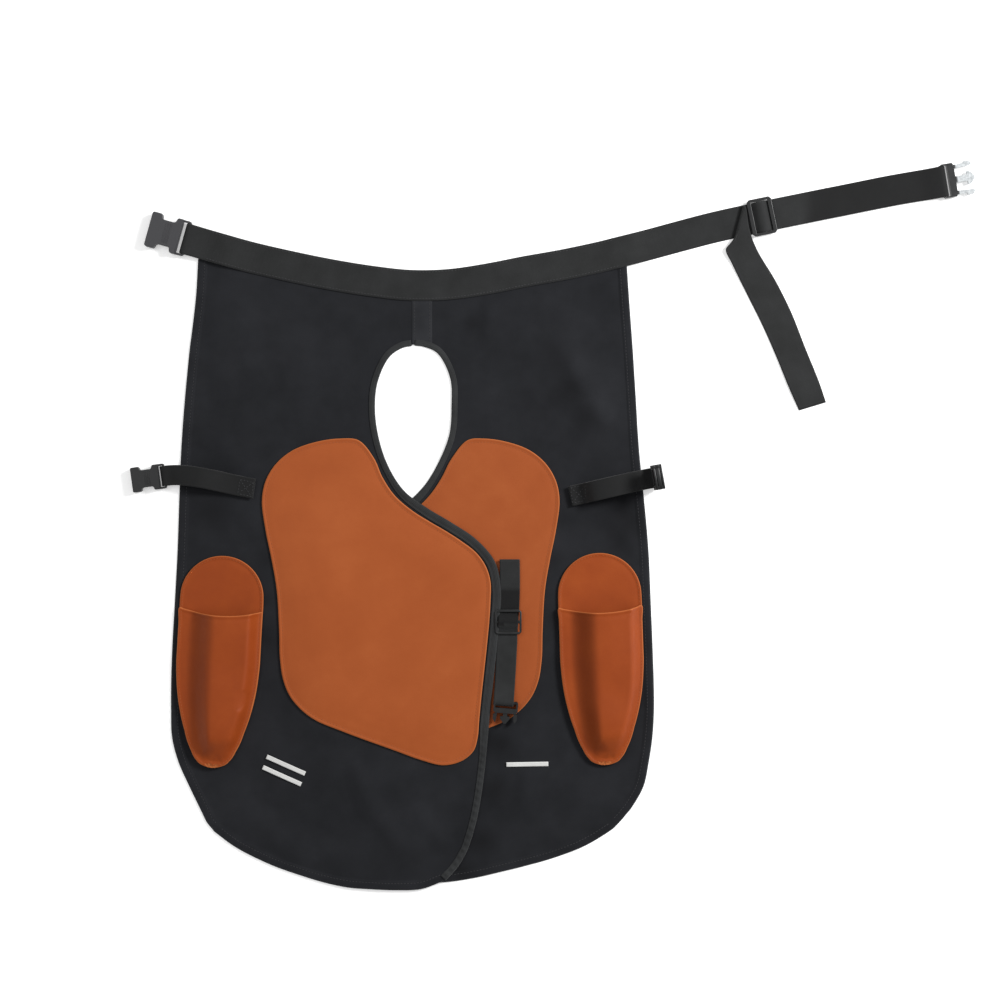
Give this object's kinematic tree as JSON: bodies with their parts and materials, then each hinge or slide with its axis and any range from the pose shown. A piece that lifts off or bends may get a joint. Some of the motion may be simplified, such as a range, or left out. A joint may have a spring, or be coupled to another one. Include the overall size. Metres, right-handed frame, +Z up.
{
  "type": "farrier apron",
  "caption": "Split canvas apron for shoeing work with leather knee patches, leather side pockets, a webbing waist belt and buckled leg straps, laid flat.",
  "frame": {"origin": "middle of the bounding box on the floor that the apron lies on", "axes": "+X along the belt towards its long plug end, +Y from the hem towards the belt, +Z up from the floor"},
  "size_m": [1.0446, 0.9024, 0.0471],
  "materials": {
    "canvas": "charcoal heavy canvas, plain weave, matt",
    "binding": "dark grey woven binding tape, stitched",
    "leather": "reddish brown leather, smooth with a satin sheen, stitched edge",
    "webbing": "black polypropylene webbing, ribbed weave",
    "black_plastic": "black moulded plastic, satin",
    "grey_plastic": "dark grey moulded plastic, satin",
    "white_tape": "white woven tape, matt"
  },
  "bodies": {
    "root": {"panel_left": "canvas", "panel_right": "canvas", "binding_left": "binding", "binding_right": "binding", "knee_patch_left": "leather", "knee_patch_right": "leather", "pocket_back_left": "leather", "pocket_back_right": "leather", "pocket_pouch_left": "leather", "pocket_pouch_right": "leather", "waist_belt": "webbing", "belt_socket_buckle": "grey_plastic", "belt_plug_buckle": "black_plastic", "belt_slider": "black_plastic", "leg_strap_outer_left": "webbing", "leg_buckle_outer_left": "black_plastic", "leg_strap_outer_right": "webbing", "leg_buckle_outer_right": "black_plastic", "leg_strap_inner": "webbing", "leg_plug_inner": "black_plastic", "leg_slider_inner": "black_plastic", "tape_left_upper": "white_tape", "tape_left_lower": "white_tape", "tape_right": "white_tape"}
  },
  "joints": []
}
